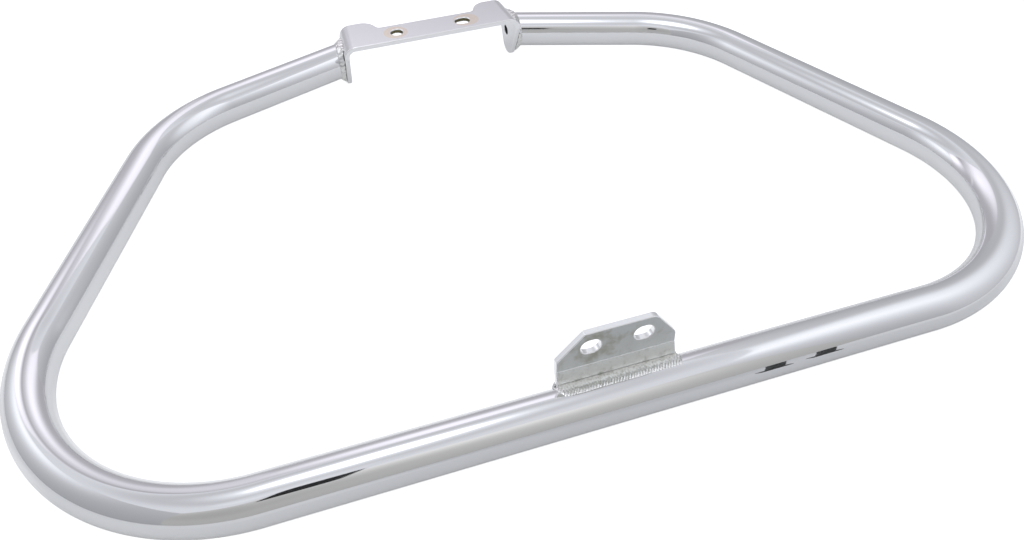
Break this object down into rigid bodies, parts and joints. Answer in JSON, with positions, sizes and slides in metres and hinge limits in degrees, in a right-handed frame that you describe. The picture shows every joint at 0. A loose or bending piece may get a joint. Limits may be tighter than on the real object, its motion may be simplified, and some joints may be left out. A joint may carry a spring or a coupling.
{
  "type": "motorcycle crash bars",
  "caption": "Bent round-tube loop guard, closed at the top by a folded saddle bracket with bolt holes, with a slotted bolting tab welded on its straight lower rail.",
  "frame": {"origin": "midpoint between the lower tab's slots, on the tab's back face, which is the side towards the saddle bracket", "axes": "+X across the motorcycle, along the straight lower rail; +Y from that rail towards the saddle bracket; +Z the way that the tab and the bracket rise out of the loop's plane, which is up as the guard lies in the picture"},
  "size_m": [0.7346, 0.4926, 0.0728],
  "materials": {
    "chromed_tube": "mirror polished chrome plate on steel tube",
    "chromed_plate": "chrome plate over satin ground steel plate",
    "chromed_weld": "chrome plate over rippled weld beads"
  },
  "bodies": {
    "root": {"guard_tube": "chromed_tube", "saddle_bracket": "chromed_plate", "lower_tab": "chromed_plate", "saddle_weld_left": "chromed_weld", "saddle_weld_right": "chromed_weld", "tab_weld_front": "chromed_weld", "tab_weld_rear": "chromed_weld"}
  },
  "joints": []
}
